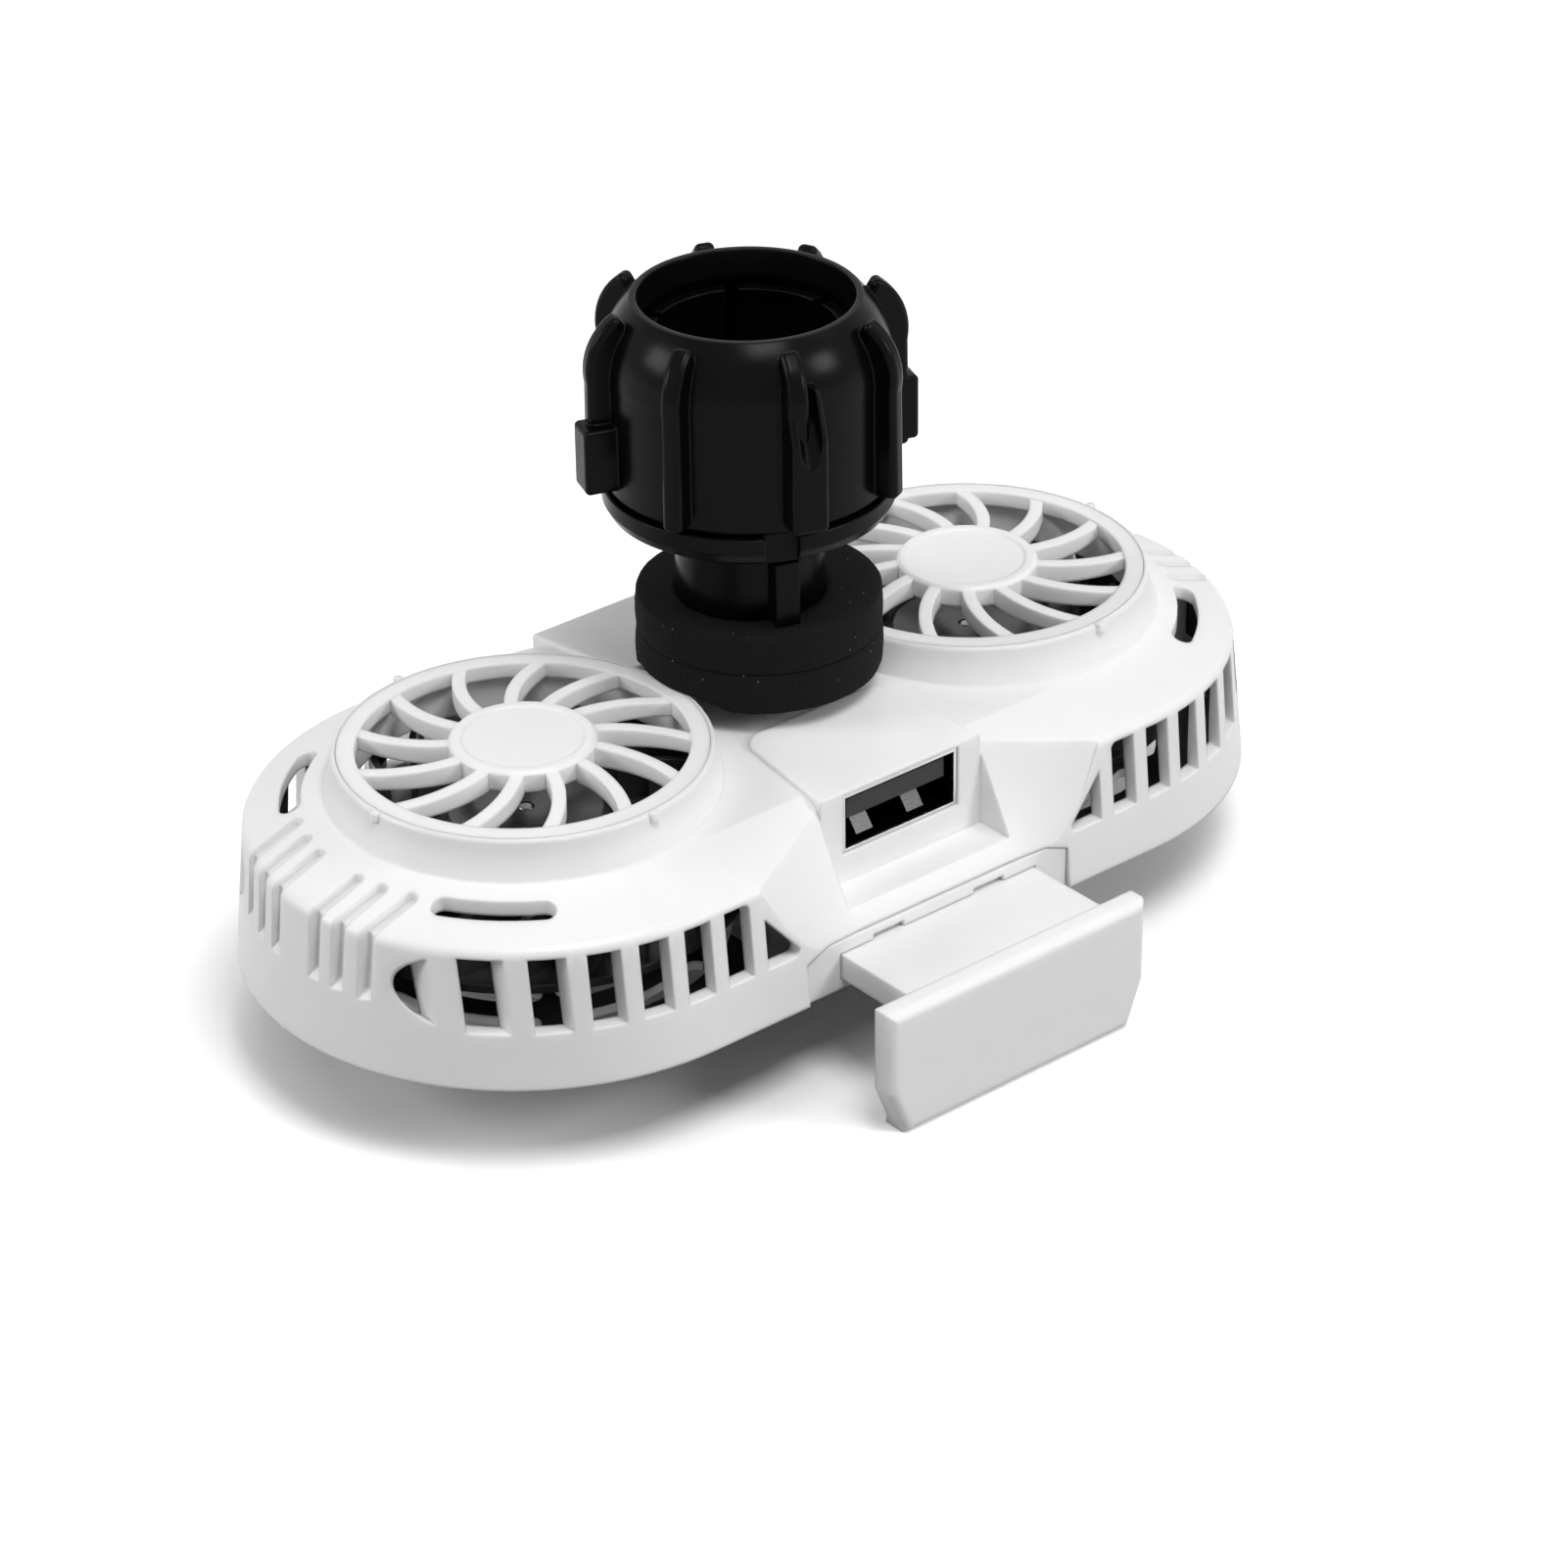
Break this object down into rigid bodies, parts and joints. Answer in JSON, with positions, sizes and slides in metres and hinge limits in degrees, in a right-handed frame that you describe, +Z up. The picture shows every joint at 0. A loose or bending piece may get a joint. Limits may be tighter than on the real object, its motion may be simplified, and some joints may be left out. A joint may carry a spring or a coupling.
{
  "type": "phone cooling fan",
  "caption": "Twin-fan clip-on phone cooler with swirl grilles, louvred sides, sliding spring jaws, a USB port and a ball-socket mount with a ribbed clamp nut.",
  "frame": {"origin": "centre of the face that lies on the phone, midway between the two fans", "axes": "+Z up, away from the phone, along the fan and socket axes; +X along the phone and the housing's length; -Y towards the USB port and the near jaw"},
  "size_m": [0.1018, 0.0712, 0.062],
  "materials": {
    "white_plastic": "satin white moulded ABS",
    "black_plastic": "semi-gloss black moulded nylon",
    "foam": "matt black closed-cell foam",
    "smoke_plastic": "smoky translucent polycarbonate",
    "steel": "plain bright steel",
    "port_metal": "nickel-plated folded sheet",
    "port_black": "black moulded insulator",
    "contact_metal": "gold-plated contact strip",
    "board": "green solder mask",
    "pad_rubber": "grey silicone pad",
    "magnet": "bonded ferrite",
    "bronze": "sintered bronze",
    "motor_black": "black moulded motor base",
    "stator_steel": "stacked laminations",
    "copper": "enamelled copper winding"
  },
  "bodies": {
    "housing": {"upper_cover": "white_plastic", "base_cover": "white_plastic", "jaw_guide": "white_plastic", "contact_pads": "pad_rubber", "near_jaw_springs": "steel", "far_jaw_springs": "steel", "case_screws": "steel", "guide_screws": "steel", "circuit_board": "board", "usb_shell": "port_metal", "usb_tongue": "port_black", "usb_contacts": "contact_metal", "inlet_shell": "port_metal", "inlet_tongue": "port_black", "foam_pad_lower": "foam", "foam_pad_upper": "foam", "socket_cup": "black_plastic", "left_grille": "white_plastic", "left_bearing": "bronze", "left_motor_base": "motor_black", "left_stator": "stator_steel", "left_coils": "copper", "left_motor_board": "board", "right_grille": "white_plastic", "right_bearing": "bronze", "right_motor_base": "motor_black", "right_stator": "stator_steel", "right_coils": "copper", "right_motor_board": "board"},
    "near_jaw": {"near_jaw": "white_plastic"},
    "far_jaw": {"far_jaw": "white_plastic"},
    "clamp_nut": {"clamp_nut": "black_plastic"},
    "left_rotor": {"left_impeller": "smoke_plastic", "left_shaft": "steel", "left_magnet": "magnet"},
    "right_rotor": {"right_impeller": "smoke_plastic", "right_shaft": "steel", "right_magnet": "magnet"}
  },
  "joints": [
    {"name": "near_jaw_slide", "type": "slide", "parent": "housing", "child": "near_jaw", "axis": [0, -1, 0], "range_m": [-0.004, 0.01], "stiffness_N_per_m": 250, "springref_m": -0.012, "deforming": ["near_jaw_springs"]},
    {"name": "far_jaw_slide", "type": "slide", "parent": "housing", "child": "far_jaw", "axis": [0, 1, 0], "range_m": [-0.004, 0.01], "stiffness_N_per_m": 250, "springref_m": -0.012, "deforming": ["far_jaw_springs"]},
    {"name": "left_fan_spin", "type": "hinge", "parent": "housing", "child": "left_rotor", "pos_m": [-0.0254, 0, 0.009], "axis": [0, 0, 1], "continuous": true},
    {"name": "right_fan_spin", "type": "hinge", "parent": "housing", "child": "right_rotor", "pos_m": [0.0254, 0, 0.009], "axis": [0, 0, 1], "continuous": true},
    {"name": "clamp_nut_turn", "type": "hinge", "parent": "housing", "child": "clamp_nut", "pos_m": [0, 0, 0.042], "axis": [0, 0, 1], "range_deg": [-90, 270]}
  ]
}
